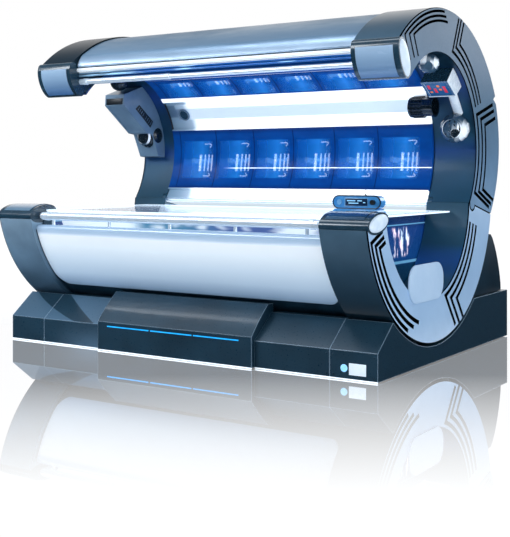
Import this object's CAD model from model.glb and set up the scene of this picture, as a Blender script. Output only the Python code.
import math

import bmesh
import bpy
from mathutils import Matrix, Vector


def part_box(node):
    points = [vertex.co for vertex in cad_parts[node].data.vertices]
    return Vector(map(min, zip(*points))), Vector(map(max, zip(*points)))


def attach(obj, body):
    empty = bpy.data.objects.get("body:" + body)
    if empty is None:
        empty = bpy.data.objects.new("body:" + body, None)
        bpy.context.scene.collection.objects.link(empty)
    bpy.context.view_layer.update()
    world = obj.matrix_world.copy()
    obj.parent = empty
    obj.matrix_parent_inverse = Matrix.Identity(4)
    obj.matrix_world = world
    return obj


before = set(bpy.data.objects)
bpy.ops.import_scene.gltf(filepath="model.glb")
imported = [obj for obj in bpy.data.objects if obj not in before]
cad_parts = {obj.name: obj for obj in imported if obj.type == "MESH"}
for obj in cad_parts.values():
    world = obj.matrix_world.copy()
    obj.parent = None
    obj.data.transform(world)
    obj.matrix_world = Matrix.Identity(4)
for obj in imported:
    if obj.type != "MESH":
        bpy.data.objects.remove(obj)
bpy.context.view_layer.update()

bl_info = {
    "name": "Clamshell tanning bed looks",
    "version": (1, 0, 0),
    "blender": (4, 5, 0),
    "location": "3D View > Sidebar > Tanning bed",
    "description": "Finishes, lit lamps and small fittings for the clamshell tanning bed",
    "category": "Object",
}

# Places that the fittings and finishes share, in metres.
BED_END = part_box("lower_faces")[1].x
PLINTH_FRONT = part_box("plinth_ends")[0].y
PLINTH_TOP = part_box("plinth_front_panels")[1].z
PLINTH_FOLD = 0.133  # height of the fold between the plinth's front and its slope
CENTRE_FRONT = -0.837  # face of the plinth's raised centre panel
TUNNEL = Vector((0, -0.120, 1.070))  # middle of the canopy's inner round
BENCH_ROUND = Vector((0, -0.244, 0.807))  # middle of the bench's inner round
TUNNEL_LINER, BENCH_LINER = 0.484, 0.502  # how far the arches' liners reach from those middles
ARCH_FRONT = Vector((0, -0.182, 0.854))  # middle of the lower arches' outer round
HANDLE_Y, HANDLE_Z = -0.522, 1.458  # axis of the canopy's handle rail
RAIL_Y, RAIL_Z = -0.850, 0.700  # axis of the bench's front rail
WINDOWS, WINDOW_PITCH = 6, 0.281  # blue lamp windows along the tunnel
WINDOWS_HALF = WINDOWS / 2 * WINDOW_PITCH
BLUE_FROM = 0.868  # distance from the bed's middle past which the lining beside the filters is blue

# Filter rows on the tunnel's round, in degrees from the rear upwards: middle and half span.
REAR_MIDDLE, REAR_HALF = -6.5, 23.2
FRONT_MIDDLE, FRONT_HALF = 55.0, 13.3

CAMERA_PLACE = (3.254, -4.983, 0.940)
CAMERA_TURN = 33.52  # degrees about the upright, from a view along y
CAMERA_LENS, CAMERA_FILM = 70.13, 36  # millimetres
CAMERA_SHIFT = -0.1797  # share of the film's size
STAGE_AHEAD = Vector((-0.552, 0.834, 0))  # level, the way that the camera looks
FLOOR_HALF = 14  # half the floor's side


# ---------------------------------------------------------------- colours, nodes and fields


def linear(code):
    """An sRGB hex colour as the linear values that a shader takes."""
    parts = [int(code[i : i + 2], 16) / 255 for i in (1, 3, 5)]
    return [p / 12.92 if p <= 0.04045 else ((p + 0.055) / 1.055) ** 2.4 for p in parts]


def rgba(code):
    """The same colour with full alpha, as a colour socket takes it."""
    return (*linear(code), 1.0)


def node(tree, kind, sockets=None, **settings):
    """Add a node with its settings; a socket takes a value, hex colour, field, or a node's first output."""
    made = tree.nodes.new(kind)
    for key, what in settings.items():
        setattr(made, key, what)
    for key, what in (sockets or {}).items():
        if isinstance(what, bpy.types.Node):
            what = what.outputs[0]
        elif isinstance(what, Field):
            what = what.socket
        if isinstance(what, bpy.types.NodeSocket):
            tree.links.new(what, made.inputs[key])
        elif isinstance(what, str) and what.startswith("#"):
            made.inputs[key].default_value = rgba(what)
        elif what is not None:
            made.inputs[key].default_value = what
    return made


class Field:
    """A value that varies over a surface: arithmetic on it adds the nodes that work it out."""

    def __init__(self, source):
        self.socket = source.outputs[0] if isinstance(source, bpy.types.Node) else source
        self.tree = self.socket.id_data

    def worked(self, operation, *others):
        values = dict(enumerate((self, *others)))
        return Field(node(self.tree, "ShaderNodeMath", values, operation=operation))

    def __add__(self, other):
        return self.worked("ADD", other)

    def __sub__(self, other):
        return self.worked("SUBTRACT", other)

    def __rsub__(self, other):
        return self.worked("MULTIPLY_ADD", -1.0, other)

    def __mul__(self, other):
        return self.worked("MULTIPLY", other)

    def __truediv__(self, other):
        return self.worked("DIVIDE", other)

    def __or__(self, other):
        """The larger of the two: where masks overlap, they join."""
        return self.worked("MAXIMUM", other)

    def __abs__(self):
        return self.worked("ABSOLUTE")

    def above(self, level):
        return self.worked("GREATER_THAN", level)

    def below(self, level):
        return self.worked("LESS_THAN", level)

    def ease(self, low, high, start=0.0, end=1.0, change="SMOOTHSTEP"):
        """Start below low, end above high, and a soft change between."""
        sockets = {"Value": self, "From Min": low, "From Max": high, "To Min": start, "To Max": end}
        return Field(node(self.tree, "ShaderNodeMapRange", sockets, interpolation_type=change))

    def ramp(self, low, high, start=0.0, end=1.0):
        """Start below low, end above high, and a straight change between."""
        return self.ease(low, high, start, end, "LINEAR")

    def spread(self, low=0.0, high=1.0):
        """Noise, most of which lies between 0.3 and 0.7, made to run from low to high."""
        return self.ramp(0.3, 0.7, low, high)

    def within(self, low, high, soft):
        """One between low and high, falling to nothing over soft on each side."""
        return self.ease(low - soft, low) * self.ease(high, high + soft, 1.0, 0.0)

    def between(self, first, second):
        """The first colour where this is nought, the second where it is one."""
        made = node(self.tree, "ShaderNodeMix", {0: self, 6: first, 7: second}, data_type="RGBA")
        return Field(made.outputs[2])

    def stops(self, *colours):
        """Colour that runs through (value, hex) stops."""
        low, high = colours[0][0], colours[-1][0]
        made = node(self.tree, "ShaderNodeValToRGB", {0: self.ramp(low, high)})
        points = made.color_ramp.elements
        while len(points) < len(colours):
            points.new(0.5)
        for point, (at, code) in zip(points, colours):
            point.position = (at - low) / (high - low)
            point.color = rgba(code)
        return Field(made)


def parts(tree, vector):
    """A vector's x, y and z."""
    return [Field(one) for one in node(tree, "ShaderNodeSeparateXYZ", {0: vector}).outputs]


def place(tree):
    """The surface's own x, y and z, in metres."""
    return parts(tree, node(tree, "ShaderNodeTexCoord").outputs["Object"])


def dot(tree, first, second):
    made = node(tree, "ShaderNodeVectorMath", {0: first, 1: second}, operation="DOT_PRODUCT")
    return Field(made.outputs["Value"])


def grain(tree, size_mm, stretch=(1, 1, 1), detail=3.0):
    """Noise whose grain is about size_mm across, drawn out along an axis where stretch is below 1."""
    spot = node(tree, "ShaderNodeTexCoord").outputs["Object"]
    scaled = node(tree, "ShaderNodeMapping", {"Vector": spot, "Scale": stretch})
    sockets = {"Vector": scaled, "Scale": 1000.0 / size_mm, "Detail": detail, "Roughness": 0.55}
    return Field(node(tree, "ShaderNodeTexNoise", sockets).outputs["Fac"])


def round_angle(y, z, middle):
    """Angle in degrees about a round's middle, from the rear upwards."""
    return (z - middle.z).worked("ARCTAN2", y - middle.y).worked("DEGREES")


def round_reach(y, z, middle):
    """Distance from a round's middle."""
    flat = node(y.tree, "ShaderNodeCombineXYZ", {1: y, 2: z})
    made = node(y.tree, "ShaderNodeVectorMath", {0: flat, 1: (0, middle.y, middle.z)}, operation="DISTANCE")
    return Field(made.outputs["Value"])


# ---------------------------------------------------------------- finishes


def blank(name):
    """A new material and its empty tree."""
    material = bpy.data.materials.new(name)
    material.use_nodes = True
    material.node_tree.nodes.clear()
    return material, material.node_tree


def relief(tree, edge, fine=None, deep_mm=0.0):
    """Edges softened to a radius, and a fine relief; either may be left out."""
    normal = node(tree, "ShaderNodeBevel", {"Radius": edge}, samples=4) if edge else None
    if deep_mm:
        sockets = {"Height": fine, "Strength": 1.0, "Distance": deep_mm / 1000, "Normal": normal}
        normal = node(tree, "ShaderNodeBump", sockets)
    return normal


def surfaced(material, colour, rough, glow=None, **sockets):
    """Close a material with its shader; _ stands for a space in a socket's name, glow lights the colour."""
    sockets = {key.replace("_", " "): what for key, what in sockets.items()}
    if glow is not None:
        sockets.update({"Emission Color": colour, "Emission Strength": glow})
    sockets.update({"Base Color": colour, "Roughness": rough})
    skin = node(material.node_tree, "ShaderNodeBsdfPrincipled", sockets)
    node(material.node_tree, "ShaderNodeOutputMaterial", {"Surface": skin})
    return material


def finish(
    name, light, dark, cloud_mm=160, rough=(0.3, 0.4), pit_mm=6, pit_deep=0.0, stretch=(1, 1, 1), edge=0.0,
    **sockets,
):
    """A solid finish: two close colours in soft clouds, a gloss that varies and a fine relief."""
    material, tree = blank(name)
    fine = grain(tree, pit_mm, stretch, 2.0)
    colour = grain(tree, cloud_mm, stretch).spread().between(light, dark)
    normal = relief(tree, edge, fine, pit_deep)
    return surfaced(material, colour, fine.spread(*rough), Normal=normal, **sockets)


def glow(name, light, dark, strength, cloud_mm):
    """A lit diffuser or lamp: pale plastic or glass that gives off its own soft light."""
    material, tree = blank(name)
    colour = grain(tree, cloud_mm, (0.4, 1, 1)).spread().between(light, dark)
    return surfaced(material, colour, 0.25, strength)


def graded(name, colours, axis=2, rough=(0.14, 0.22), glow_by=0.0, **sockets):
    """Gloss moulding whose tone runs along one axis, as a big curved panel's does in studio light."""
    material, tree = blank(name)
    long = (0.35, 1, 1)
    ripple = (grain(tree, 420, long) - 0.5) * 0.03
    colour = (place(tree)[axis] + ripple).stops(*colours)
    sockets = {"Coat_Weight": 0.7, "Coat_Roughness": 0.06, **sockets}
    fine = grain(tree, 60, long)
    return surfaced(material, colour, fine.spread(*rough), glow_by, Normal=relief(tree, 0.003), **sockets)


def slotted_plate(name, dark, glow_by, *tones):
    """Silver lacquer, its tone running with height, with the walls of its cut slots left black."""
    material, tree = blank(name)
    flat = node(tree, "ShaderNodeNewGeometry").outputs["True Normal"]
    wall = abs(parts(tree, flat)[0]).below(0.5)
    face = 1.0 - wall
    fine = grain(tree, 5, detail=2.0)
    light = place(tree)[2].stops(*tones)
    colour = wall.between(grain(tree, 240).spread(0.0, 0.4).between(light, dark), "#03070a")
    return surfaced(
        material, colour, fine.spread(0.32, 0.44), glow_by, Metallic=face * 0.2,
        Normal=relief(tree, 0.0012, fine, 0.03), Specular_IOR_Level=face * 0.22,
    )


def arch_lacquer():
    """Metallic lacquer on the arches' outer bands, dark gloss liner inside, black behind the slots."""
    material, tree = blank("Metallic lacquer on moulded ABS")
    x, y, z = place(tree)
    flake = grain(tree, 5, detail=1.0)  # real flake is under 0.1 mm; drawn coarse enough to show
    right_band = z.stops(
        (0.10, "#0f2735"), (0.28, "#17313f"), (0.50, "#35546a"), (0.74, "#57788f"),
        (0.80, "#1c3543"), (1.20, "#28465a"), (1.55, "#4a6a80"), (1.76, "#22404f"),
    )
    left_band = z.stops(
        (0.10, "#122c3b"), (0.28, "#3a5b73"), (0.50, "#7b9cb6"), (0.72, "#a0bdd4"), (0.80, "#1c3543"),
        (1.20, "#1f3d50"), (1.50, "#122a38"), (1.58, "#0b1c27"), (1.76, "#07131b"),
    )
    liner = z.stops(
        (0.15, "#0c5596"), (0.38, "#10506c"), (0.48, "#165fae"), (0.56, "#15506a"),
        (0.80, "#184e66"), (0.98, "#1c5474"), (1.06, "#1a4f92"), (1.14, "#27607e"), (1.30, "#1b4e6e"),
        (1.42, "#1b4c9c"), (1.50, "#123f58"),
    )
    inside = round_reach(y, z, TUNNEL).below(TUNNEL_LINER) | round_reach(y, z, BENCH_ROUND).below(BENCH_LINER)
    backing = abs(x).above(BED_END - 0.0068)
    shade = x.ease(-0.3, 0.3, 0.75, 0.0) * z.ease(1.3, 1.5)
    open_to_light = 1.0 - (backing | shade)
    band = x.ease(-0.3, 0.3, 1.0, 0.0).between(right_band, left_band)
    colour = grain(tree, 220).spread(0.0, 0.35).between(inside.between(band, liner), "#1b3444")
    return surfaced(
        material, backing.between(colour, "#020405"), inside.ramp(-2.0, 4.2) + backing * 0.5,
        Metallic=open_to_light * 0.2, Normal=relief(tree, 0.003, flake, 0.04),
        Specular_IOR_Level=open_to_light * 0.5, Coat_Weight=open_to_light * (inside * -0.3 + 0.4),
        Coat_Roughness=0.12,
    )


def plinth_paint():
    """Powder coat: pale rubbed folds, shaded ends, and the left arch mirrored dark on paler left slopes."""
    material, tree = blank("Powder-coated sheet steel")
    x, _, z = place(tree)
    flat = node(tree, "ShaderNodeNewGeometry").outputs["True Normal"]
    aside, ahead, up = parts(tree, flat)
    fine = grain(tree, 7, detail=2.0)
    colour = grain(tree, 260).spread().between("#1f3e50", "#17303f")
    # Slopes: a dark crescent between two curves, with paler sheen on both sides of it.
    fall = z.ramp(PLINTH_TOP, PLINTH_FOLD)
    near, far = [
        x - (fall * lean + (fall * fall * curl + start))
        for start, lean, curl in ((-1.097, 0.26, 0.16), (-0.846, 0.27, 0.04))
    ]
    crescent = near.ease(-0.004, 0.004) * far.ease(-0.004, 0.004, 1.0, 0.0)
    slope = up.ease(0.2, 0.4) * up.ease(0.9, 0.97, 1.0, 0.0)
    left = x.ease(-0.500, -0.492, 1.0, 0.0)
    sheen = (slope * left * (0.8 - crescent)) | 0.0
    # Front: the sheen pools low beside the raised centre panel.
    pool = z.ease(0.0, 0.13, 1.0, 0.25) * x.ease(-0.90, -0.52) * left * abs(ahead).above(0.9)
    colour = (sheen | (pool * 0.75)).between(colour, "#56768f")
    colour = abs(aside).above(0.9).between(colour, "#112b3a")
    # Folds: the paint is thin and pale where the sheet turns.
    rounded = node(tree, "ShaderNodeBevel", {"Radius": 0.0055}, samples=4)
    colour = dot(tree, rounded, flat).ease(0.88, 0.99, 0.9, 0.0).between(colour, "#a5bfd4")
    peel = {"Height": fine, "Strength": 1.0, "Distance": 0.00002, "Normal": rounded}
    return surfaced(
        material, colour, fine.spread(0.27, 0.36), Normal=node(tree, "ShaderNodeBump", peel),
        Coat_Weight=0.35, Coat_Roughness=0.07,
    )


def lit_tray():
    """Opal tunnel lining, lit from behind: blue beside the filters, unlit grey at its left end."""
    material, tree = blank("Opal acrylic diffuser")
    x, y, z = place(tree)
    angle = round_angle(y, z, TUNNEL)
    outer = abs(x).ease(BLUE_FROM, BLUE_FROM + 0.006)
    blue = (angle.within(-29.0, 16.0, 0.7) * outer) | (angle.within(47.5, 69.0, 0.7) * outer)
    blue = blue | angle.ease(68.0, 69.0)
    unlit = x.ease(-0.745, -0.685, 1.0, 0.0)
    grey = x.stops((-0.900, "#6f8da4"), (-0.800, "#93adc1"), (-0.690, "#cfdfeb"))
    pale = angle.within(27.5, 36.5, 1.0)
    white = grain(tree, 300, (0.3, 1, 1)).spread().between("#fcfeff", "#eef6fc")
    white = pale.between(white, "#d6e4f0")
    colour = blue.between(unlit.between(white, grey), "#0c4fa0")
    return surfaced(material, colour, 0.3, 0.85 - (blue | unlit) * 0.6 - pale * 0.30)


def filter_glass():
    """Cobalt glass: deep blue between the lamps and lighter where each lamp's window glows through."""
    material, tree = blank("Cobalt filter glass")
    x, y, z = place(tree)
    angle = round_angle(y, z, TUNNEL)
    front = angle.above(30.0)
    middle = front * (FRONT_MIDDLE - REAR_MIDDLE) + REAR_MIDDLE
    half = front * (FRONT_HALF - REAR_HALF) + REAR_HALF
    reach = abs(angle - middle) / half
    along = ((x + WINDOWS_HALF) / WINDOW_PITCH).worked("FRACT")
    inner = abs(x).below(WINDOWS_HALF)
    window = along.within(0.10, 0.90, 0.03) * reach.within(-1.0, 0.60, 0.05) * inner
    seam = along.within(-0.2, 0.022, 0.012) * inner
    colour = grain(tree, 90, (0.5, 1, 1)).spread().between("#074a98", "#083d84")
    colour = (reach.ease(0.82, 0.98) * 0.7).between(colour, "#0b2a63")
    lamp = along.stops((0.08, "#064b96"), (0.30, "#0a60ae"), (0.62, "#2486d4"), (0.92, "#07478f"))
    colour = (window * 0.9).between(colour, lamp)
    colour = (seam * 0.8).between(colour, "#082a5e")
    # The lower bend of the rear sheet catches the bench light as one hairline.
    line = angle.within(-13.40, -12.95, 0.15) * x.ease(-0.52, -0.40)
    colour = line.between(colour, "#eefcff")
    # A pale margin is printed over the front sheet's rear edge, in front of the diffuser.
    margin = front * angle.ease(45.2, 45.7, 1.0, 0.0)
    colour = margin.between(colour, "#f2f8fd")
    return surfaced(
        material, colour, 0.2, (margin | line) * 0.6 + 0.38, Specular_IOR_Level=0.06,
        Alpha=margin | (window * -0.24 + 0.88),
    )


def end_pane():
    """Clear end pane of the bench with the burners' light caught in it as upright streaks."""
    material, tree = blank("Lit acrylic end pane")
    _, y, z = place(tree)
    body = z.stops((0.40, "#0c2f55"), (0.50, "#0f4684"), (0.64, "#123f86"), (0.70, "#0e2c5c"))
    bright = grain(tree, 70, (1, 1, 0.5), 1.0).spread().between("#d9f0ff", "#f2c4cf")
    lit = y.within(-0.15, 0.03, 0.03) * z.within(0.515, 0.64, 0.02)
    lit = lit * grain(tree, 30, (1, 1, 0.34)).ease(0.49, 0.60)
    colour = lit.between(body, bright)
    # The pane's frame: a hairline along its top, a pale shelf below and dark teal under that.
    colour = z.ease(0.455, 0.468, 1.0, 0.0).between(colour, "#0a3350")
    lines = z.within(0.666, 0.669, 0.003) | z.within(0.468, 0.478, 0.004)
    colour = (lines * 0.8).between(colour, "#7fc6ea")
    return surfaced(material, colour, 0.08, lit * 0.7 + 0.3, Alpha=0.9, Coat_Weight=0.5)


def lit_tub():
    """White enamelled trough whose front lip catches the blue of the lamps."""
    material, tree = blank("White enamelled liner, lamp-lit")
    x, y, z = place(tree)
    lip = y.ease(-0.66, -0.62, 1.0, 0.0)
    spots = grain(tree, 120, (0.5, 1, 1), 2.0).ease(0.28, 0.44)
    blue = lip * z.ease(0.672, 0.684, 1.0, 0.0) * spots * x.ease(-0.42, -0.28, 0.0, 0.92)
    colour = blue.between("#e9f4fc", x.ease(-0.1, 0.3).between("#0f6d94", "#0a3f8a"))
    return surfaced(material, colour, 0.25, lip * 0.25 + 0.4)


def trim_strip():
    """Polished strip under the visor: bright above, tunnel-blue with stretched gleams below."""
    material, tree = blank("Polished aluminium and acrylic trim")
    x, _, z = place(tree)
    gleam = grain(tree, 26, (0.10, 1, 1.6), 2.0).ease(0.53, 0.66)
    lower = x.ease(-0.62, -0.40).between("#5d7c95", "#0d56a0")
    lower = (gleam * 0.8).between(lower, "#9fd3f6")
    colour = z.ease(1.507, 1.510).between(lower, "#f1f8fd")
    return surfaced(material, colour, grain(tree, 30).spread(0.22, 0.28), 0.32, Metallic=0.2)


def rear_shell():
    """Dark moulded shell; the strip of it that faces the tunnel is white."""
    material, tree = blank("Moulded ABS rear shell")
    _, y, z = place(tree)
    dark = grain(tree, 260).spread().between("#102b3a", "#0a1e2a")
    front = y.ease(0.52, 0.53, 1.0, 0.0) * z.ease(0.60, 0.61) * z.ease(0.765, 0.770, 1.0, 0.0)
    return surfaced(
        material, front.between(dark, "#e6f2fb"), grain(tree, 4, detail=2.0).spread(0.42, 0.52), front * 0.75,
        Normal=relief(tree, 0.003), Specular_IOR_Level=0.22,
    )


def display_shell():
    """Display case: silver ends, a dark shell above and a blue face below."""
    material, tree = blank("Display case")
    aside, _, up = parts(tree, node(tree, "ShaderNodeNewGeometry").outputs["True Normal"])
    shell = (1.0 - abs(aside).above(0.6)) * place(tree)[2].above(1.340)
    silver = grain(tree, 60).spread().between("#eef5fb", "#cfdeec")
    colour = shell.between(silver, up.below(-0.2).between("#153446", "#3a658f"))
    return surfaced(
        material, colour, grain(tree, 12).spread(0.24, 0.3), 0.14,
        Normal=relief(tree, 0.003), Coat_Weight=0.4,
    )


def swivel_ball():
    """Polished dark silver with soft studio highlights: low on the speaker's ball, two on the air ball."""
    material, tree = blank("Polished metallic ball")
    normal = node(tree, "ShaderNodeNewGeometry").outputs["Normal"]
    speaker = dot(tree, normal, (0.80, -0.52, -0.30)).ease(0.62, 0.99)
    air = dot(tree, normal, (-0.16, -0.94, 0.30)).ease(0.80, 0.99)
    air = air | dot(tree, normal, (0.90, -0.42, -0.10)).ease(0.80, 0.99)
    high = place(tree)[2].above(1.35)  # the air ball sits above the speaker's
    lit = high * air + (1.0 - high) * speaker
    colour = lit.between(grain(tree, 50).spread().between("#45627a", "#2f4a5f"), "#eef5fb")
    return surfaced(
        material, colour, grain(tree, 20).spread(0.2, 0.27), lit * 0.35, Coat_Weight=0.4, Coat_Roughness=0.06,
    )


def lying_sheet():
    """Clear cast acrylic: see-through and glossy, with bright sawn edges that gather the lamps' light."""
    material, tree = blank("Clear cast acrylic")
    colour = grain(tree, 260, (0.3, 1, 1)).spread().between("#eaf6ff", "#d9ecfb")
    rim = abs(parts(tree, node(tree, "ShaderNodeNewGeometry").outputs["Normal"])[2]).below(0.5)
    return surfaced(
        material, colour, 0.03, rim.ramp(0.0, 1.0, 0.18, 0.95), Alpha=rim.ramp(0.0, 1.0, 0.42, 0.95),
        Coat_Weight=0.6, Coat_Roughness=0.03,
    )


def make_finishes():
    """Every finish on the bed, by the short name that the pieces use."""
    return {
        # Powder coat on folded steel: satin, with a faint orange-peel skin and softened folds.
        "plinth_paint": plinth_paint(),
        # Car-like lacquer: a deep blue-grey whose flake lifts the highlights.
        "arch_lacquer": arch_lacquer(),
        # Silver lacquer: a fine sparkle that the eye reads as metal, and slots that read black.
        "silver_lower": slotted_plate(
            "Silver lacquer on lower plates", "#8babcb", 0.15,
            (0.10, "#c6dcf2"), (0.22, "#aac7e4"), (0.40, "#9dbcdc"), (0.62, "#a3c1e0"), (0.80, "#b6d0ea"),
        ),
        "silver_upper": slotted_plate(
            "Silver lacquer on upper plates", "#4d6a82", 0.03,
            (0.78, "#8aaccd"), (1.00, "#7093b4"), (1.25, "#547893"), (1.50, "#41607a"), (1.76, "#334d61"),
        ),
        "cover_silver": finish(
            "Silver lacquer on end covers", "#c0d7ee", "#aac6e2", 200, (0.3, 0.42), 5, 0.03, edge=0.004,
            Metallic=0.15, Emission_Color="#aecbe6", Emission_Strength=0.12,
        ),
        # Polished dark moulding: deep colour under a clear hard coat.
        "cap_gloss": finish(
            "Polished moulded ABS", "#213f51", "#15303f", 120, (0.2, 0.28), 9, 0.03, edge=0.004,
            Coat_Weight=0.7, Coat_Roughness=0.08,
        ),
        # Satin inlay: smoky silver that takes on the tunnel's blue towards its lower edge.
        "cap_inlay": graded(
            "Satin polycarbonate inlay",
            ((1.385, "#4f78a8"), (1.43, "#7596b8"), (1.47, "#8fadca"), (1.53, "#a9c3dc")), rough=(0.18, 0.28),
        ),
        # Smoked inlay: the same moulding, deeper blue the nearer it stands to the lit tunnel's right end.
        "cap_smoke": graded(
            "Smoked blue inlay",
            ((-1.12, "#6f8da5"), (-0.90, "#6f8da5"), (0.0, "#4a6d88"), (0.90, "#2b5678"), (1.12, "#1b3f5c")),
            axis=0, Coat_Weight=0.8,
        ),
        # Frosted lamp lens: milky, nearly white, soft at its rim.
        "lens_frost": finish(
            "Frosted polycarbonate lens", "#dfeaf5", "#c9dae9", 40, (0.3, 0.42), 4, 0.03, edge=0.005,
            Emission_Color="#d3e2f0", Emission_Strength=0.1,
        ),
        # Large gloss-white moulded panel: smooth, shaded like a cylinder by the studio light.
        "fascia_white": graded(
            "Gloss white acrylic-capped ABS",
            ((0.31, "#83a0bd"), (0.335, "#9db8d3"), (0.39, "#c4d9ec"), (0.46, "#d8e8f5"), (0.55, "#eff7fd"),
             (0.596, "#f2f8fd"), (0.612, "#b9cfe4"), (0.655, "#8fabc8")),
            glow_by=0.2,
        ),
        # Chrome plate: mirror bright, very slightly clouded by handling.
        "bright_metal": finish(
            "Chrome plate on steel tube", "#eef4fa", "#dbe6f0", 60, (0.21, 0.25), 40, Metallic=0.65,
            Emission_Color="#c4dcf2", Emission_Strength=0.3,
        ),
        # Brushed aluminium: hairlines run the length of the visor and stretch the highlights.
        "visor_silver": graded(
            "Brushed anodised aluminium",
            ((1.545, "#c3d8ee"), (1.572, "#b3cbe3"), (1.605, "#84a2bd"), (1.67, "#7190aa"),
             (1.755, "#567288")),
            rough=(0.28, 0.42), Metallic=0.45, Anisotropic=0.5, Coat_Weight=0.0,
        ),
        # Polished strip: one clean bright line over broken blue gleams.
        "trim_strip": trim_strip(),
        # Folded lip: a paler line that closes the visor's lower edge.
        "lip_bright": finish(
            "Folded aluminium lip", "#b9d1e8", "#a3bfda", 80, (0.25, 0.35), 5, 0.02, (0.05, 1, 1),
            Metallic=0.3,
        ),
        # Moulded shell: nearly black, with a dull even skin.
        "shell_grey": rear_shell(),
        # Painted pressings: a dark satin that stays behind the brighter faces.
        "ring_grey": finish(
            "Painted pressed aluminium", "#24465a", "#1a3647", 150, (0.3, 0.42), 5, 0.04, Metallic=0.3,
        ),
        # Opal diffuser: evenly lit from behind by its tubes.
        "tray_white": lit_tray(),
        # Enamelled trough: clean white with pools of lamp blue on its lip.
        "tub_white": lit_tub(),
        # Hammered reflector: many small dimples that break the lamps' light up.
        "reflector_metal": finish(
            "Hammered anodised reflector sheet", "#9cc4ea", "#6fa3d8", 40, (0.12, 0.26), 9, 0.5,
            Metallic=0.85, Emission_Color="#2a7fd0", Emission_Strength=0.22,
        ),
        # Lit burner: brighter than anything round it.
        "lamp_glass": glow("Lit quartz burner", "#9fd2ff", "#7fbdf5", 1.2, 30),
        # Blue filter glass: deep colour with a hard polish; the lamps glow through it.
        "filter_blue": filter_glass(),
        # End pane: dark clear blue with upright streaks of light caught in it.
        "end_pane": end_pane(),
        # Clear sheet: little of its own but a gloss and bright edges.
        "acrylic_clear": lying_sheet(),
        # Moulded nylon: close to black, with a soft shine.
        "black_plastic": finish(
            "Black moulded nylon", "#12232f", "#0a1720", 60, (0.18, 0.3), 5, 0.05,
            Coat_Weight=0.5, Coat_Roughness=0.12,
        ),
        # Polished ball: the studio lamps draw a bright patch on its dark blue-grey.
        "ball_gloss": swivel_ball(),
        # Comfort unit: a plain mid blue-grey moulding with softened edges.
        "unit_teal": finish(
            "Moulded comfort unit case", "#7693ab", "#627f97", 120, (0.28, 0.4), 4, 0.04, edge=0.003,
            Coat_Weight=0.3, Coat_Roughness=0.15,
        ),
        # Display case: silver cheeks beside a dark hood.
        "display_case": display_shell(),
        # Console shell: a clear toy-like blue under a wet polish.
        "console_blue": finish(
            "Blue translucent console shell", "#58a2de", "#3a82c4", 50, (0.08, 0.16), 8, 0.02, edge=0.003,
            Coat_Weight=0.8, Coat_Roughness=0.04, Emission_Color="#1f6cab", Emission_Strength=0.12,
        ),
        # Soft-touch control: dark and dull, with hardly a highlight.
        "control_dark": finish("Dark soft-touch control", "#101c26", "#0a131a", 20, (0.3, 0.42), 3, 0.05),
        # Light guide: an even strong blue line.
        "status_light": glow("Blue light guide", "#1c9be0", "#1288cc", 1.0, 40),
        # Primed frame: flat dark grey that stays out of sight.
        "frame_steel": finish(
            "Zinc-primed frame steel", "#2b3a44", "#22303a", 90, (0.38, 0.5), 6, 0.05, Metallic=0.3,
        ),
        # Rubber: matt black with a coarse skin.
        "foot_rubber": finish("Moulded rubber", "#15191c", "#0d1012", 40, (0.6, 0.75), 3, 0.1),
        # Screw heads: small grey glints on the dark paint.
        "screw_zinc": finish(
            "Blackened screw head", "#39505f", "#2a3e4c", 4, (0.25, 0.35), 2, 0.03, Metallic=0.7,
        ),
        # Flutes and clips: thin white lines of lamp light in the blue.
        "flute_bright": glow("Fluted mirror strip, lamp-lit", "#ffffff", "#9fd0ff", 3.6, 14),
        "clip_bright": glow("Spring clip, lamp-lit", "#ffffff", "#a9d4ff", 3.0, 8),
        # Screens: dim panes that their marks stand out on.
        "screen_blue": glow("Lit blue screen", "#2b6096", "#1d4f80", 0.3, 30),
        "screen_dark": glow("Unlit dark screen", "#0f2c4c", "#0b2340", 0.2, 30),
        # Indicator marks: small saturated lights.
        "mark_red": glow("Red indicator segment", "#d9344a", "#b62c44", 0.45, 6),
        "mark_amber": glow("Amber indicator segment", "#ec8140", "#d36c2c", 0.5, 6),
        "mark_ice": glow("Pale blue indicator segment", "#9fd6f7", "#7cc2ee", 0.6, 6),
        # Kick strip: a crisp white line where the plinth meets the floor.
        "edge_white": glow("White kick strip", "#f7fbfe", "#e8f2fa", 0.6, 60),
        # Bare plate: pale brushed metal with nothing on it.
        "plate_pale": finish(
            "Blank aluminium plate", "#eef6fc", "#e0edf8", 12, (0.3, 0.4), 6,
            Emission_Color="#e6f1fb", Emission_Strength=0.22,
        ),
        # Touch pad: a paler, glossier blue than the shell about it.
        "pad_blue": finish("Pale touch pad", "#7fb6e2", "#5f9bd0", 14, (0.12, 0.2), 5, 0.02, Coat_Weight=0.6),
        # Port glass: dark and wet-looking in its ring.
        "port_dark": finish(
            "Smoked port glass", "#31556d", "#1d3b50", 14, (0.08, 0.16), 5, 0.02,
            Coat_Weight=0.8, Coat_Roughness=0.05,
        ),
    }


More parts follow.
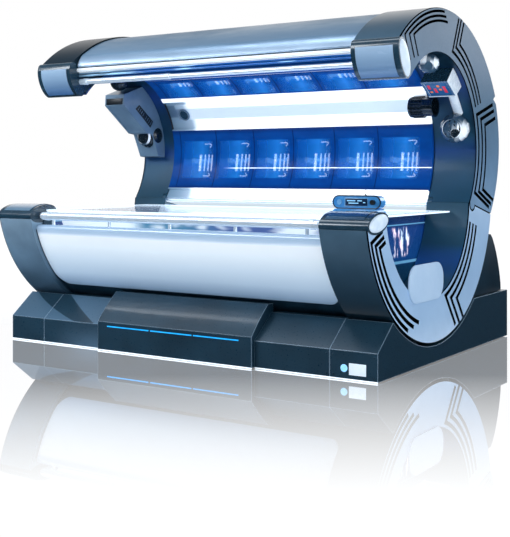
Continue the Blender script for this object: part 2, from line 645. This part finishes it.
FINISHES = {}
NODE_FINISH = {
    "frame_steel": "base_frame control_box fan_frames ballasts canopy_cross_tubes",
    "foot_rubber": "levelling_feet",
    "plinth_paint": "plinth_ends plinth_front_panels plinth_centre_panel plinth_rear_panel plinth_deck",
    "status_light": "status_light_bar",
    "arch_lacquer": "lower_arch_left lower_arch_right upper_arch_left upper_arch_right",
    "silver_lower": "lower_faces",
    "cover_silver": "oval_covers",
    "silver_upper": "upper_faces",
    "cap_gloss": "lower_caps upper_caps",
    "cap_inlay": "upper_cap_inlays",
    "cap_smoke": "lower_cap_inlays",
    "lens_frost": "lower_cap_lenses upper_cap_lenses",
    "fascia_white": "front_fascia",
    "bright_metal": "front_rail handle_rail hinge_shaft",
    "trim_strip": "canopy_trim",
    "visor_silver": "canopy_visor",
    "shell_grey": "canopy_rear_shell rear_housing",
    "ring_grey": "bench_end_rings canopy_end_rings bench_belly",
    "tray_white": "canopy_inner_tray light_strip",
    "tub_white": "bench_tub",
    "reflector_metal": "bench_reflectors canopy_reflectors lamp_housings",
    "lamp_glass": "bench_lamps canopy_lamps",
    "filter_blue": "canopy_filters",
    "end_pane": "bench_end_panes",
    "acrylic_clear": "bench_acrylic",
    "black_plastic": "speaker_ball_left air_ball_left strip_nozzle cooling_fan_left cooling_fan_right",
    "ball_gloss": "speaker_ball_right air_ball_right",
    "unit_teal": "comfort_unit",
    "display_case": "display_unit",
    "console_blue": "console_pod console_stand",
    "control_dark": "console_knob",
    "pad_blue": "console_button",
}

# ---------------------------------------------------------------- mesh work


def settle(work, name, crease):
    """Turn worked geometry into a mesh: merged, facing outwards, smooth but for its sharp edges."""
    bmesh.ops.remove_doubles(work, verts=work.verts, dist=1e-6)
    bmesh.ops.recalc_face_normals(work, faces=work.faces)
    for face in work.faces:
        face.smooth = True
    for edge in work.edges:
        if len(edge.link_faces) == 2 and edge.calc_face_angle(0) > math.radians(crease):
            edge.smooth = False
    mesh = bpy.data.meshes.new(name)
    work.to_mesh(mesh)
    work.free()
    return mesh


def piece(name, shape, finish_name, body, crease=35):
    """Put a worked shape or a finished mesh on a body; its place is in its own vertices."""
    mesh = settle(shape, name, crease) if isinstance(shape, bmesh.types.BMesh) else shape
    solid = bpy.data.objects.new(name, mesh)
    bpy.context.scene.collection.objects.link(solid)
    mesh.materials.clear()
    mesh.materials.append(FINISHES[finish_name])
    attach(solid, body)


def axes_of(direction):
    """A direction of length one, and two more square to it."""
    ahead = Vector(direction).normalized()
    rough = Vector((0, 0, 1)) if abs(ahead.z) < 0.9 else Vector((1, 0, 0))
    across = ahead.cross(rough).normalized()
    return ahead, across, ahead.cross(across).normalized()


def circle(across, up, radius, steps):
    """Steps round a circle, from its middle."""
    turns = [2 * math.pi * k / steps for k in range(steps)]
    return [across * (math.cos(turn) * radius) + up * (math.sin(turn) * radius) for turn in turns]


def turned(work, profile, base, direction, steps=48):
    """Add a turned shape: its profile is (radius, height) from base along direction."""
    ahead, across, up = axes_of(direction)
    rows = []
    for radius, height in profile:
        middle = Vector(base) + ahead * height
        spokes = circle(across, up, radius, steps) if radius > 1e-6 else [Vector()]
        rows.append([work.verts.new(middle + spoke) for spoke in spokes])
    for low, high in zip(rows, rows[1:]):
        for k in range(steps):
            after = (k + 1) % steps
            corners = [low[k % len(low)], low[after % len(low)], high[after % len(high)], high[k % len(high)]]
            corners = list(dict.fromkeys(corners))
            if len(corners) > 2:
                work.faces.new(corners)
    return work


def slab(work, corners, thick, round_by):
    """Add a plate: its corners in order, its thickness as a vector, its edges rounded."""
    low = [work.verts.new(Vector(c)) for c in corners]
    high = [work.verts.new(Vector(c) + Vector(thick)) for c in corners]
    faces = [work.faces.new(low[::-1]), work.faces.new(high)]
    count = len(corners)
    for k in range(count):
        faces.append(work.faces.new([low[k], low[(k + 1) % count], high[(k + 1) % count], high[k]]))
    edges = list({edge for face in faces for edge in face.edges})
    bmesh.ops.bevel(work, geom=edges, offset=round_by, segments=2, affect="EDGES", profile=0.5)
    return work


def rounded_box(work, low, high, round_by):
    """Add a box from its lowest to its highest corner, its edges rounded."""
    x0, y0, z0 = low
    x1, y1, z1 = high
    return slab(work, [(x0, y0, z0), (x1, y0, z0), (x1, y1, z0), (x0, y1, z0)], (0, 0, z1 - z0), round_by)


def swept(work, path, radius, steps, hint=(1, 0, 0)):
    """Add a round rod along a path, closed at both ends; hint is a way that the path never takes."""
    path = [Vector(p) for p in path]
    rows = []
    for k, point in enumerate(path):
        ahead = (path[min(k + 1, len(path) - 1)] - path[max(k - 1, 0)]).normalized()
        across = ahead.cross(Vector(hint)).normalized()
        spokes = circle(across, ahead.cross(across), radius, steps)
        rows.append([work.verts.new(point + spoke) for spoke in spokes])
    for low, high in zip(rows, rows[1:]):
        for j in range(steps):
            after = (j + 1) % steps
            work.faces.new([low[j], low[after], high[after], high[j]])
    work.faces.new(rows[0][::-1])
    work.faces.new(rows[-1])
    return work


def outward(angle):
    """The way out from a round about the bed's length, by its angle from the rear."""
    turn = math.radians(angle)
    return Vector((0, math.cos(turn), math.sin(turn)))


def about(middle, radius, angle, x=0.0):
    """Point on a round about the bed's length, by its angle from the rear."""
    return Vector((x, middle.y, middle.z)) + outward(angle) * radius


# ---------------------------------------------------------------- repeated pieces


def repeat_tree(name, item):
    """Nodes that put one small item on every point, turned to the point's own 'facing'."""
    tree = bpy.data.node_groups.new(name, "GeometryNodeTree")
    face = tree.interface
    face.new_socket("Points", in_out="INPUT", socket_type="NodeSocketGeometry")
    for label, start in (("Item radius", 0.004), ("Item height", 0.002)):
        socket = face.new_socket(label, in_out="INPUT", socket_type="NodeSocketFloat")
        socket.default_value = start
        socket.subtype = "DISTANCE"
    face.new_socket("Finish", in_out="INPUT", socket_type="NodeSocketMaterial")
    face.new_socket("Pieces", in_out="OUTPUT", socket_type="NodeSocketGeometry")
    given = tree.nodes.new("NodeGroupInput").outputs
    radius, height = given["Item radius"], given["Item height"]
    kind, sizes = {
        "screw": ("Cone", {"Vertices": 12, "Radius Top": 0.0025, "Radius Bottom": radius, "Depth": height}),
        "rod": ("Cylinder", {"Vertices": 10, "Radius": radius, "Depth": height}),
        "ball": ("IcoSphere", {"Radius": radius, "Subdivisions": 1}),
    }[item]
    shape = node(tree, "GeometryNodeMesh" + kind, sizes)
    facing = node(tree, "GeometryNodeInputNamedAttribute", {"Name": "facing"}, data_type="FLOAT_VECTOR")
    turn = node(tree, "FunctionNodeAlignRotationToVector", {"Vector": facing}, axis="Z")
    placing = {"Points": given["Points"], "Instance": shape, "Rotation": turn}
    placed = node(tree, "GeometryNodeInstanceOnPoints", placing)
    real = node(tree, "GeometryNodeRealizeInstances", {0: placed})
    painted = node(tree, "GeometryNodeSetMaterial", {"Geometry": real, "Material": given["Finish"]})
    node(tree, "NodeGroupOutput", {"Pieces": painted})
    return tree


def repeated(name, tree, points, facings, finish_name, body, radius, height):
    """Run a repeat tree on these points and keep its result as one plain mesh on a body."""
    seeds = bpy.data.meshes.new(name + "_points")
    seeds.from_pydata([tuple(p) for p in points], [], [])
    facing = seeds.attributes.new("facing", "FLOAT_VECTOR", "POINT")
    facing.data.foreach_set("vector", [c for f in facings for c in Vector(f).normalized()])
    holder = bpy.data.objects.new(name + "_holder", seeds)
    bpy.context.scene.collection.objects.link(holder)
    modifier = holder.modifiers.new("Repeat", "NODES")
    modifier.node_group = tree
    wanted = {"Item radius": radius, "Item height": height, "Finish": FINISHES[finish_name]}
    for socket in tree.interface.items_tree:
        if socket.in_out == "INPUT" and socket.name in wanted:
            modifier[socket.identifier] = wanted[socket.name]
    holder.update_tag()
    bpy.context.view_layer.update()
    graph = bpy.context.evaluated_depsgraph_get()
    mesh = bpy.data.meshes.new_from_object(holder.evaluated_get(graph))
    mesh.name = name
    holder.modifiers.remove(modifier)
    bpy.data.objects.remove(holder)
    bpy.data.meshes.remove(seeds)
    if len(mesh.polygons) == 0:
        raise RuntimeError(name + " came out empty")
    piece(name, mesh, finish_name, body)


# ---------------------------------------------------------------- sizes and colours


class TanningBedSizes(bpy.types.PropertyGroup):
    screw_radius: bpy.props.FloatProperty(
        name="Screw head", description="Radius of a panel screw's head", default=0.005, unit="LENGTH"
    )
    flute_radius: bpy.props.FloatProperty(
        name="Flute", description="Radius of one bright flute in a lamp window", default=0.0042, unit="LENGTH"
    )
    flute_count: bpy.props.IntProperty(
        name="Flutes", description="Bright flutes in each lamp window", default=5, min=1, max=5
    )
    clip_radius: bpy.props.FloatProperty(
        name="Clip wire", description="Radius of the wire of a lamp's spring clip", default=0.0032,
        unit="LENGTH",
    )
    collar_width: bpy.props.FloatProperty(
        name="Collar", description="Width of the collars on the rails", default=0.03, unit="LENGTH"
    )


class TanningBedColours(bpy.types.PropertyGroup):
    floor: bpy.props.FloatVectorProperty(
        name="Floor", description="Colour of the floor", subtype="COLOR", size=3, default=linear("#fbfcfd")
    )
    daylight: bpy.props.FloatVectorProperty(
        name="Studio light", description="Colour of the studio lamps", subtype="COLOR", size=3,
        default=linear("#f2f8ff"),
    )


# ---------------------------------------------------------------- operators


class BED_OT_finishes(bpy.types.Operator):
    """Give every carried-over part of the bed its real finish"""

    bl_idname = "tanning_bed.finishes"
    bl_label = "Finishes on the bed's parts"

    def execute(self, context):
        FINISHES.update(make_finishes())
        given = set()
        for finish_name, names in NODE_FINISH.items():
            for name in names.split():
                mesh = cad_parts[name].data
                mesh.materials.clear()
                mesh.materials.append(FINISHES[finish_name])
                for face in mesh.polygons:
                    face.material_index = 0
                given.add(name)
        left = set(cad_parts) - given
        if left:
            raise RuntimeError("no finish for %s" % sorted(left))
        return {"FINISHED"}


class BED_OT_stage(bpy.types.Operator):
    """Camera, pale floor and soft studio light"""

    bl_idname = "tanning_bed.stage"
    bl_label = "Stage"

    def execute(self, context):
        scene = context.scene
        lens = bpy.data.cameras.new("Camera")
        lens.lens, lens.sensor_width, lens.shift_y = CAMERA_LENS, CAMERA_FILM, CAMERA_SHIFT
        lens.clip_end = 100
        camera = bpy.data.objects.new("Camera", lens)
        camera.location = CAMERA_PLACE
        camera.rotation_euler = (math.radians(90), 0, math.radians(CAMERA_TURN))
        scene.collection.objects.link(camera)
        scene.camera = camera

        colours = scene.tanning_bed_colours
        for name, spot, aim, size, power in (
            ("Key light", (-2.8, -4.2, 3.4), (0, -0.2, 0.7), (3.2, 1.6), 165),
            ("Fill light", (4.8, -1.8, 1.5), (0.6, -0.1, 0.5), (2.2, 2.2), 98),
            ("Top light", (-0.4, -1.6, 4.6), (0, -0.2, 1.2), (3.6, 0.9), 40),
            ("Rear light", (2.6, 4.4, 2.8), (0, 0, 1.0), (3.0, 2.0), 60),
        ):
            lamp = bpy.data.lights.new(name, "AREA")
            lamp.shape, lamp.size, lamp.size_y, lamp.energy = "RECTANGLE", *size, power
            lamp.color = colours.daylight
            holder = bpy.data.objects.new(name, lamp)
            holder.location = spot
            holder.rotation_euler = (Vector(aim) - Vector(spot)).to_track_quat("-Z", "Y").to_euler()
            scene.collection.objects.link(holder)

        # White to the eye and behind the floor's mirror; a dim blue studio to the bed's own gloss.
        world = bpy.data.worlds.new("Studio")
        world.use_nodes = True
        tree = world.node_tree
        tree.nodes.clear()
        path = node(tree, "ShaderNodeLightPath").outputs
        way = node(tree, "ShaderNodeTexCoord").outputs["Generated"]
        beyond = dot(tree, way, STAGE_AHEAD).ease(0.62, 0.86)
        sheen = parts(tree, way)[2].stops(
            (-1.0, "#0d1720"), (-0.1, "#20303d"), (0.15, "#33495c"), (1.0, "#8ba3b8")
        )
        room, white, dim = [
            node(tree, "ShaderNodeBackground", {"Color": colour, "Strength": strength})
            for colour, strength in (("#d3e4f4", 0.3), ("#ffffff", 1.0), (sheen, 1.0))
        ]
        mirrored = node(tree, "ShaderNodeMixShader", {0: beyond, 1: dim, 2: white})
        seen = Field(path["Is Camera Ray"]) | path["Is Transmission Ray"]
        both = node(tree, "ShaderNodeMixShader", {0: path["Is Glossy Ray"], 1: room, 2: mirrored})
        both = node(tree, "ShaderNodeMixShader", {0: seen, 1: both, 2: white})
        node(tree, "ShaderNodeOutputWorld", {0: both})
        scene.world = world
        scene.view_settings.view_transform = "Standard"

        # Polished white floor: mirrors the bed near it and fades to plain white towards the eye.
        material, tree = blank("Polished white floor tile")
        x, y, _ = place(tree)
        path = node(tree, "ShaderNodeLightPath").outputs
        nearer = x * -STAGE_AHEAD.x + y * -STAGE_AHEAD.y
        beside = x * STAGE_AHEAD.y + y * -STAGE_AHEAD.x
        about_bed = nearer.ease(-0.9, -0.3) * abs(beside).ease(1.6, 2.0, 1.0, 0.0)
        mirror = nearer.ramp(2.9, 1.1) * 0.76 * about_bed
        flat = node(tree, "ShaderNodeCombineXYZ", {0: x, 1: y})
        far = Field(node(tree, "ShaderNodeVectorMath", {0: flat}, operation="LENGTH").outputs["Value"])
        lit = far.ease(1.2, 2.6, 0.86, 1.0) * path["Is Camera Ray"]
        white = (*colours.floor, 1.0)
        shade = node(tree, "ShaderNodeBsdfDiffuse", {"Color": white})
        plain = node(tree, "ShaderNodeEmission", {"Color": white, "Strength": 1.06})
        base = node(tree, "ShaderNodeMixShader", {0: lit, 1: shade, 2: plain})
        gloss = node(tree, "ShaderNodeBsdfGlossy", {"Color": "#fdfdfe", "Roughness": 0.015})
        top = node(tree, "ShaderNodeMixShader", {0: mirror, 1: base, 2: gloss})
        dusk = node(tree, "ShaderNodeEmission", {"Color": "#33424f", "Strength": 1.0})
        top = node(tree, "ShaderNodeMixShader", {0: path["Is Glossy Ray"], 1: top, 2: dusk})
        node(tree, "ShaderNodeOutputMaterial", {"Surface": top})
        mesh = bpy.data.meshes.new("floor")
        corners = [(a * FLOOR_HALF, b * FLOOR_HALF, 0) for a, b in ((-1, -1), (1, -1), (1, 1), (-1, 1))]
        mesh.from_pydata(corners, [], [(0, 1, 2, 3)])
        mesh.materials.append(material)
        floor = bpy.data.objects.new("floor", mesh)
        floor.location.z = -0.0005
        scene.collection.objects.link(floor)
        return {"FINISHED"}


class BED_OT_screws(bpy.types.Operator):
    """Countersunk screws along the plinth's front seams and its ends"""

    bl_idname = "tanning_bed.screws"
    bl_label = "Panel screws"

    def execute(self, context):
        radius = context.scene.tanning_bed_sizes.screw_radius
        seams = (-1.128, -0.921, -0.884, -0.506, 0.506, 0.884, 0.921, 1.128)
        points = [(x, PLINTH_FRONT - 0.0004, z) for x in seams for z in (0.022, 0.112)]
        facings = [(0, -1, 0)] * len(points)
        for side in (-1, 1):
            for y in (-0.76, -0.45, 0.3, 0.55, 0.78):
                points.append((side * BED_END, y, 0.03))
                facings.append((side, 0, 0))
        tree = repeat_tree("Panel screw", "screw")
        repeated("plinth_screws", tree, points, facings, "screw_zinc", "bed", radius, 0.0016)
        return {"FINISHED"}


class BED_OT_lamp_windows(bpy.types.Operator):
    """Bright fluted mirror strips and spring clips behind each blue filter window"""

    bl_idname = "tanning_bed.lamp_windows"
    bl_label = "Flutes and clips in the lamp windows"

    def execute(self, context):
        sizes = context.scene.tanning_bed_sizes
        tree = repeat_tree("Mirror flute", "rod")
        starts = [(window - WINDOWS / 2) * WINDOW_PITCH for window in range(WINDOWS)]
        shares = (0.50, 0.53, 0.64, 0.74, 0.83)[: sizes.flute_count]
        for row, angle, reach, length in (("rear", -8.6, 0.482, 0.104), ("front", 57.0, 0.486, 0.030)):
            places = [start + share * WINDOW_PITCH for start in starts for share in shares]
            points = [about(TUNNEL, reach, angle, x) for x in places]
            repeated(
                "lamp_flutes_" + row, tree, points, [outward(angle + 90)] * len(points), "flute_bright",
                "canopy", sizes.flute_radius, length,
            )
        # Each clip is a wire hook: (share of the window's pitch, share of the hook's bend).
        hook = ((0.66, 0.05), (0.72, 0.0), (0.80, 0.0), (0.835, 0.15), (0.83, 0.5), (0.79, 1.0))
        clip_reach = 0.4745
        work = bmesh.new()
        for start in starts:
            for top, bend in ((5.6, -2.6), (-19.0, 2.2)):
                path = [
                    about(TUNNEL, clip_reach, top + bend * curl, start + share * WINDOW_PITCH)
                    for share, curl in hook
                ]
                swept(work, path, sizes.clip_radius, 8, (0, 1, 0))
        piece("lamp_clips", work, "clip_bright", "canopy")
        return {"FINISHED"}


class BED_OT_console(bpy.types.Operator):
    """Control pod's dark rim, framed window with marks, and aerial"""

    bl_idname = "tanning_bed.console"
    bl_label = "Control console"

    def execute(self, context):
        low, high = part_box("console_pod")
        middle, face = (low + high) / 2, low.y
        half = (high.z - low.z) / 2 - 0.0015
        reach = (high.x - low.x) / 2 - 0.0015 - half
        loop = []
        for side, start in ((1, -90), (-1, 90)):
            for k in range(13):
                turn = math.radians(start + 15 * k)
                x, z = middle.x + side * reach + half * math.cos(turn), middle.z + half * math.sin(turn)
                loop.append((x, face + 0.001, z))
        rim = swept(bmesh.new(), [*loop, loop[0]], 0.0032, 8, (0, 1, 0))
        piece("console_rim", rim, "control_dark", "bed")

        def plate(work, left, right, low, high, proud, sunk, round_by):
            """Add a plate on the pod's face, measured from its middle."""
            return rounded_box(
                work, (middle.x + left, face - proud, middle.z + low),
                (middle.x + right, face + sunk, middle.z + high), round_by,
            )

        frame_shape = plate(bmesh.new(), -0.062, 0.062, -0.0205, 0.0205, 0.0012, 0.002, 0.0008)
        piece("console_window_frame", frame_shape, "pad_blue", "bed")
        window = plate(bmesh.new(), -0.057, 0.057, -0.0165, 0.0165, 0.0022, 0.001, 0.0008)
        piece("console_window", window, "screen_dark", "bed")
        marks = bmesh.new()
        for left, right, foot in (
            (-0.048, -0.004, 0.004), (0.006, 0.030, 0.004), (-0.040, 0.012, -0.007), (0.036, 0.048, -0.004),
        ):
            plate(marks, left, right, foot, foot + 0.0045, 0.0028, -0.0018, 0.0004)
        piece("console_marks", marks, "mark_ice", "bed")
        profile = [(0, 0), (0.004, 0), (0.0035, 0.006), (0.0014, 0.008), (0.0012, 0.03), (0, 0.0305)]
        aerial = turned(bmesh.new(), profile, (middle.x + 0.036, middle.y, high.z - 0.001), (0, 0, 1), 16)
        piece("console_aerial", aerial, "control_dark", "bed")
        return {"FINISHED"}


class BED_OT_displays(bpy.types.Operator):
    """Screen and marks of the canopy's display"""

    bl_idname = "tanning_bed.displays"
    bl_label = "Canopy displays"

    def execute(self, context):
        # The display unit's slanting front runs down from top to foot.
        top, foot = Vector((1.035, 0.038, 1.406)), Vector((1.035, 0.153, 1.336))
        across, down = Vector((1, 0, 0)), (foot - top).normalized()
        out = Vector((0, down.z, -down.y))
        margin = 0.0145
        start = top + down * margin

        def plate(work, left, right, low, high, sunk, thick, round_by):
            """Add a plate in the front's plane: from left to right and down it."""
            spots = ((left, low), (right, low), (right, high), (left, high))
            corners = [start + across * aside + down * fall - out * sunk for aside, fall in spots]
            return slab(work, corners, out * thick, round_by)

        height = (foot - top).length - 2 * margin
        screen = plate(bmesh.new(), -0.060, 0.060, 0.0, height, 0.003, 0.0022, 0.0006)
        piece("display_screen", screen, "screen_blue", "canopy")
        for colour, spans in (
            ("red", (
                (-0.05, -0.036, 0.016, 0.05), (-0.022, -0.008, 0.045, 0.082), (0.030, 0.046, 0.03, 0.085),
            )),
            ("amber", (
                (0.002, 0.016, 0.018, 0.034), (0.006, 0.02, 0.05, 0.062), (-0.05, -0.036, 0.07, 0.08),
            )),
        ):
            work = bmesh.new()
            for span in spans:
                plate(work, *span, 0.0008, 0.0012, 0.0003)
            piece("display_%s_marks" % colour, work, "mark_" + colour, "canopy")
        return {"FINISHED"}


class BED_OT_visor_lip(bpy.types.Operator):
    """Bright folded lip along the visor's lower edge"""

    bl_idname = "tanning_bed.visor_lip"
    bl_label = "Visor lip"

    def execute(self, context):
        half = 0.894  # half the clear length between the arches' caps
        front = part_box("canopy_trim")[0].y
        low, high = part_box("canopy_trim")[1].z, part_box("canopy_visor")[0].z
        lip = rounded_box(
            bmesh.new(), (-half, front + 0.0006, low + 0.0035), (half, front + 0.005, high + 0.001), 0.0012
        )
        piece("visor_lip", lip, "lip_bright", "canopy")
        return {"FINISHED"}


class BED_OT_rail_collars(bpy.types.Operator):
    """Collars where the canopy handle is joined and carried, and on the bench rail's ends"""

    bl_idname = "tanning_bed.rail_collars"
    bl_label = "Rail collars"

    def execute(self, context):
        half = context.scene.tanning_bed_sizes.collar_width / 2
        work = bmesh.new()
        for x, radius in ((-0.266, 0.0172), (-0.86, 0.0185), (0.86, 0.0145)):
            face, flat = radius - 0.004, half - 0.002
            profile = [(0, -half), (face, -half), (radius, -flat), (radius, flat), (face, half), (0, half)]
            turned(work, profile, (x, HANDLE_Y, HANDLE_Z), (1, 0, 0), 32)
        piece("handle_collars", work, "bright_metal", "canopy")
        profile = [
            (0, -0.014), (0.0215, -0.014), (0.0242, -0.011), (0.0242, 0.011), (0.0215, 0.014), (0, 0.014),
        ]
        work = bmesh.new()
        for side in (-1, 1):
            turned(work, profile, (side * 0.835, RAIL_Y, RAIL_Z), (1, 0, 0), 32)
        piece("front_rail_collars", work, "bright_metal", "bed")
        return {"FINISHED"}


class BED_OT_plates(bpy.types.Operator):
    """Blank plate and round cover at the right end of the plinth's front"""

    bl_idname = "tanning_bed.plates"
    bl_label = "Blank plates"

    def execute(self, context):
        plate = rounded_box(
            bmesh.new(), (1.002, PLINTH_FRONT - 0.0022, 0.025), (1.088, PLINTH_FRONT + 0.001, 0.078), 0.0008
        )
        piece("blank_plate", plate, "plate_pale", "bed")
        profile = [(0, 0), (0.0175, 0), (0.0175, 0.0016), (0.0165, 0.0026), (0.007, 0.003), (0, 0.003)]
        cover = turned(bmesh.new(), profile, (0.976, PLINTH_FRONT + 0.0004, 0.053), (0, -1, 0), 40)
        piece("round_cover", cover, "mark_ice", "bed")
        return {"FINISHED"}


class BED_OT_kick_strip(bpy.types.Operator):
    """White strip in three lengths along the foot of the plinth's front"""

    bl_idname = "tanning_bed.kick_strip"
    bl_label = "Kick strip"

    def execute(self, context):
        strip = bmesh.new()
        for left, right, front in (
            (-1.146, -0.492, PLINTH_FRONT), (-0.487, 0.487, CENTRE_FRONT), (0.492, 1.146, PLINTH_FRONT),
        ):
            rounded_box(strip, (left, front - 0.0016, 0.001), (right, front + 0.004, 0.0068), 0.0005)
        piece("kick_strip", strip, "edge_white", "bed")
        return {"FINISHED"}


class BED_OT_rear_ends(bpy.types.Operator):
    """Curved dark covers that stand on the plinth behind each lower arch"""

    bl_idname = "tanning_bed.rear_ends"
    bl_label = "Rear end covers"

    def execute(self, context):
        foot = 0.268  # height at which the covers stand
        behind_arch = 0.762  # radius of their inner side about the arch's middle
        near_side, width = 0.906, 0.222  # along the bed
        inner = [about(ARCH_FRONT, behind_arch, angle) for angle in range(-49, -20, 4)]
        outer = (
            (0.575, 0.596), (0.612, 0.593), (0.640, 0.570), (0.668, 0.527), (0.694, 0.484),
            (0.716, 0.440), (0.735, 0.395), (0.750, 0.350), (0.761, 0.308), (0.768, foot),
        )
        outline = [(inner[0].y - 0.01, foot), *[(p.y, p.z) for p in inner], *outer]
        work = bmesh.new()
        for side in (-1, 1):
            slab(work, [(side * near_side, y, z) for y, z in outline], (side * width, 0, 0), 0.004)
        piece("rear_end_covers", work, "shell_grey", "bed", 25)
        return {"FINISHED"}


class BED_OT_port(bpy.types.Operator):
    """Round port in the unlit left end of the tunnel's lining"""

    bl_idname = "tanning_bed.port"
    bl_label = "Round port"

    def execute(self, context):
        lining, angle, x = 0.4405, 31.5, -0.748
        base, into = about(TUNNEL, lining, angle, x), -outward(angle)
        profile = [
            (0.029, 0.001), (0.030, 0.008), (0.034, 0.011), (0.0385, 0.008), (0.040, 0.001), (0.029, 0.001),
        ]
        ring = turned(bmesh.new(), profile, base, into)
        piece("port_ring", ring, "unit_teal", "canopy")
        profile = [(0, 0.001), (0.0295, 0.001), (0.0295, 0.005), (0.02, 0.0065), (0, 0.0075)]
        lens = turned(bmesh.new(), profile, base, into, 40)
        piece("port_lens", lens, "port_dark", "canopy")
        return {"FINISHED"}


class BED_OT_tunnel_seal(bpy.types.Operator):
    """Rubber seal along the inside of the left arch"""

    bl_idname = "tanning_bed.tunnel_seal"
    bl_label = "Tunnel seal"

    def execute(self, context):
        reach, x = 0.4725, -0.8985
        path = [about(TUNNEL, reach, angle, x) for angle in range(-14, 80, 3)]
        piece("tunnel_seal", swept(bmesh.new(), path, 0.0045, 10), "control_dark", "canopy")
        return {"FINISHED"}


class BED_OT_speaker_grilles(bpy.types.Operator):
    """Grilles in the recesses of the speaker balls, with a pale ring about each"""

    bl_idname = "tanning_bed.speaker_grilles"
    bl_label = "Speaker grilles"

    def execute(self, context):
        drawn_for = 0.080  # radius of the ball that these lengths are drawn for
        ring = (
            (0.0475, 0.0555), (0.0475, 0.0664), (0.0505, 0.0676), (0.0560, 0.0630), (0.0585, 0.0555),
            (0.0475, 0.0555),
        )
        # The grille and its holes keep within the ball's own round, which turns in a close socket.
        grille = (
            (0, 0.055), (0.0482, 0.055), (0.0482, 0.0626), (0.040, 0.0681), (0.028, 0.0739),
            (0.014, 0.0777), (0, 0.0790),
        )
        hole_reach, hole_pitch = 0.0780, 0.0100
        dots = repeat_tree("Grille hole", "ball")
        for side, name in ((-1, "left"), (1, "right")):
            low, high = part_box("speaker_ball_" + name)
            centre, share = (low + high) / 2, (high.x - low.x) / 2 / drawn_for
            facing, across, up = axes_of((side * 0.1, -1.0, -0.1))
            body = "speaker_" + name
            for part, finish_name, profile in (
                ("ring", "ball_gloss", ring), ("grille", "black_plastic", grille),
            ):
                work = turned(bmesh.new(), [(r * share, h * share) for r, h in profile], centre, facing)
                piece("speaker_%s_%s" % (part, name), work, finish_name, body)
            points = []
            for number in range(1, 4):
                out = hole_pitch * number * share
                rise = math.sqrt((hole_reach * share) ** 2 - out**2)
                points += [centre + facing * rise + spoke for spoke in circle(across, up, out, 6 * number)]
            repeated(
                "speaker_holes_" + name, dots, points, [facing] * len(points), "ball_gloss", body,
                0.0013, 0.002,
            )
        return {"FINISHED"}


class BED_OT_nozzle_ribs(bpy.types.Operator):
    """Moulded ribs about the cooling nozzle"""

    bl_idname = "tanning_bed.nozzle_ribs"
    bl_label = "Nozzle ribs"

    def execute(self, context):
        low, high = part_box("strip_nozzle")
        centre, radius = (low + high) / 2, (high.z - low.z) / 2
        ribs = 20
        points = [about(centre, radius + 0.0004, k * 360 / ribs, low.x + 0.046) for k in range(ribs)]
        tree = repeat_tree("Nozzle rib", "rod")
        repeated(
            "nozzle_ribs", tree, points, [(1, 0, 0)] * ribs, "black_plastic", "nozzle",
            0.0032, 0.066,
        )
        return {"FINISHED"}


class BED_OT_comfort_fittings(bpy.types.Operator):
    """Dark slots and vent bars on the left comfort unit"""

    bl_idname = "tanning_bed.comfort_fittings"
    bl_label = "Comfort unit fittings"

    def execute(self, context):
        low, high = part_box("comfort_unit")
        left, right = low.x + 0.010, high.x - 0.010
        work = bmesh.new()
        vent = ((0.062, 1.335), (0.098, 1.362), (0.236, 1.262), (0.208, 1.222))
        slab(work, [(high.x - 0.0005, y, z) for y, z in vent], (0.0016, 0, 0), 0.0005)
        slot = [
            (left, -0.0480, 1.358), (right, -0.0480, 1.358), (right, -0.0450, 1.396), (left, -0.0450, 1.396),
        ]
        slab(work, slot, (0, -0.0035, 0), 0.001)
        piece("comfort_slots", work, "control_dark", "canopy")
        top, foot = Vector((high.x + 0.0012, 0.082, 1.346)), Vector((high.x + 0.0012, 0.220, 1.244))
        run = foot - top
        points = [top + run * share for share in (0.08, 0.19, 0.30, 0.41, 0.60, 0.71, 0.82, 0.93)]
        facings = [(0, -run.z, run.y)] * len(points)
        tree = repeat_tree("Vent bar", "rod")
        repeated("comfort_bars", tree, points, facings, "unit_teal", "canopy", 0.0022, 0.026)
        return {"FINISHED"}


OPERATORS = (
    BED_OT_finishes, BED_OT_stage, BED_OT_screws, BED_OT_lamp_windows, BED_OT_console, BED_OT_displays,
    BED_OT_visor_lip, BED_OT_rail_collars, BED_OT_plates, BED_OT_kick_strip, BED_OT_rear_ends, BED_OT_port,
    BED_OT_tunnel_seal, BED_OT_speaker_grilles, BED_OT_nozzle_ribs, BED_OT_comfort_fittings,
)


class BED_PT_panel(bpy.types.Panel):
    """Lists the bed's pieces with the sizes and colours they use"""

    bl_label = "Tanning bed"
    bl_idname = "BED_PT_panel"
    bl_space_type = "VIEW_3D"
    bl_region_type = "UI"
    bl_category = "Tanning bed"

    def draw(self, context):
        for group in (context.scene.tanning_bed_sizes, context.scene.tanning_bed_colours):
            for name in group.bl_rna.properties.keys():
                if name not in ("rna_type", "name"):
                    self.layout.prop(group, name)
        for operator in OPERATORS:
            self.layout.operator(operator.bl_idname)


CLASSES = (TanningBedSizes, TanningBedColours, *OPERATORS, BED_PT_panel)


def register():
    for kind in CLASSES:
        bpy.utils.register_class(kind)
    bpy.types.Scene.tanning_bed_sizes = bpy.props.PointerProperty(type=TanningBedSizes)
    bpy.types.Scene.tanning_bed_colours = bpy.props.PointerProperty(type=TanningBedColours)


def unregister():
    del bpy.types.Scene.tanning_bed_colours
    del bpy.types.Scene.tanning_bed_sizes
    for kind in reversed(CLASSES):
        bpy.utils.unregister_class(kind)


def main():
    register()
    for operator in OPERATORS:
        group, name = operator.bl_idname.split(".")
        getattr(getattr(bpy.ops, group), name)()


if __name__ == "__main__":
    main()
